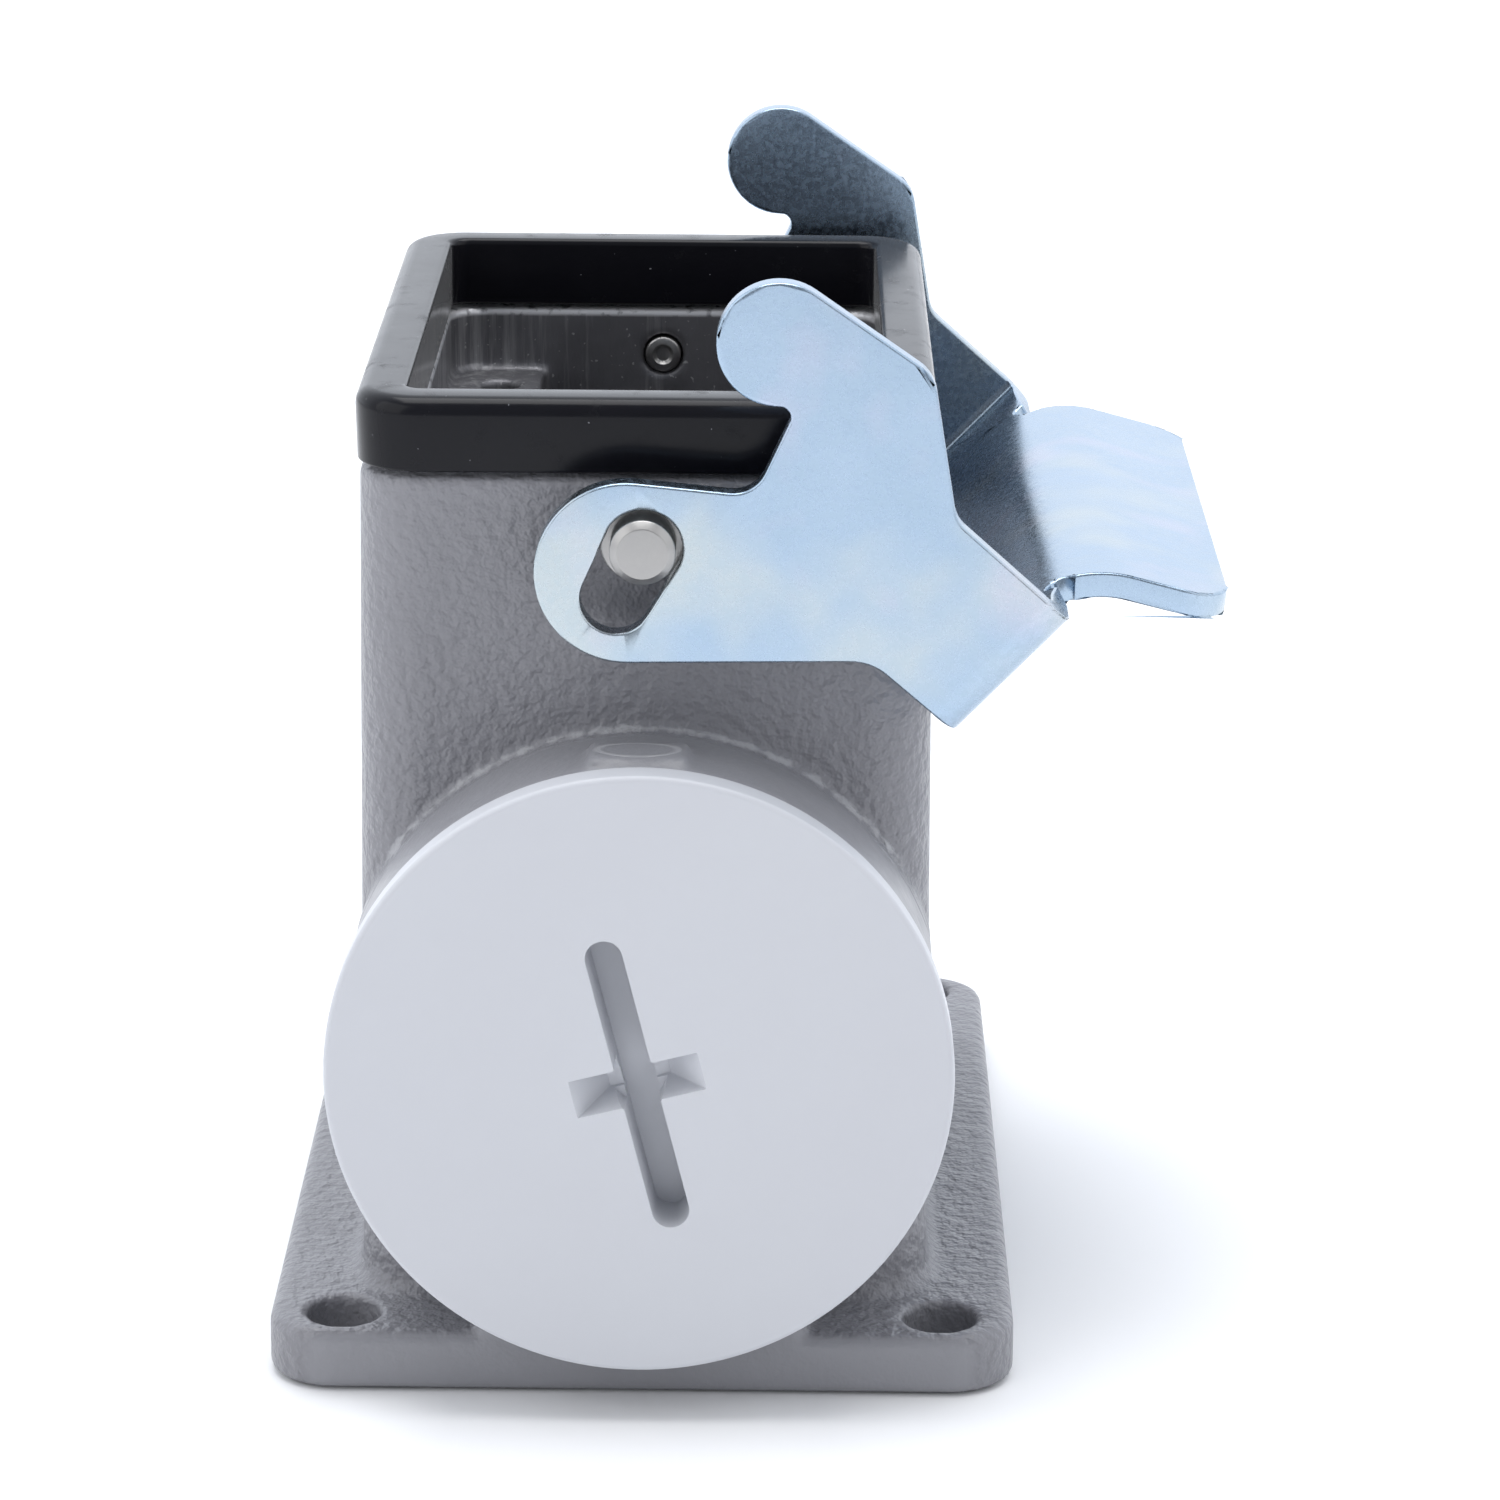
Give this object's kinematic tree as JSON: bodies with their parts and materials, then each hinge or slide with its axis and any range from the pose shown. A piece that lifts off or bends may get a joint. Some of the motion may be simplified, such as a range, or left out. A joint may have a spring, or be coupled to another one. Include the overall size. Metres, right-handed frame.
{
  "type": "rectangular connector base housing",
  "caption": "Surface-mounting base housing for a heavy-duty rectangular connector, with a fold-over locking lever, a rim seal and a side cable entry closed by a screw plug.",
  "frame": {"origin": "on the underside of the mounting flange, below the middle of the open mouth", "axes": "+Z out of the open mouth, away from the mounting surface; -Y out of the cable entry; +X towards the lever's finger tab"},
  "size_m": [0.0716, 0.0869, 0.0844],
  "materials": {
    "coated_grey": "textured grey powder coat on die-cast aluminium",
    "black_seal": "glossy black moulded elastomer",
    "zinc_steel": "blue-passivated zinc plating on sheet steel",
    "stainless_steel": "turned stainless steel",
    "grey_plastic": "satin light grey moulding",
    "dark_rubber": "matt black"
  },
  "bodies": {
    "housing": {"housing_body": "coated_grey", "seal_frame": "black_seal"},
    "pins": {"front_pivot_pin": "stainless_steel", "rear_pivot_pin": "stainless_steel"},
    "lever": {"locking_lever": "zinc_steel"},
    "ring": {"plug_seal_ring": "dark_rubber"},
    "plug": {"blanking_plug": "grey_plastic"}
  },
  "joints": [
    {"name": "lever_swing", "type": "hinge", "parent": "housing", "child": "pins", "pos_m": [0, 0, 0.06475], "axis": [0, -1, 0], "range_deg": [0, 45]},
    {"name": "lever_lift", "type": "slide", "parent": "pins", "child": "lever", "axis": [0.4613, 0, 0.8872], "range_m": [0, 0.0042]},
    {"name": "plug_travel", "type": "slide", "parent": "housing", "child": "ring", "axis": [0, -1, 0], "range_m": [0, 0.01001]},
    {"name": "plug_turn", "type": "hinge", "parent": "ring", "child": "plug", "pos_m": [0, -0.0418, 0.027], "axis": [0, -1, 0], "range_deg": [0, 2400]}
  ],
  "couplings": [
    {"joint": "plug_travel", "follows": "plug_turn", "m_per_rad": 0.00023873}
  ]
}
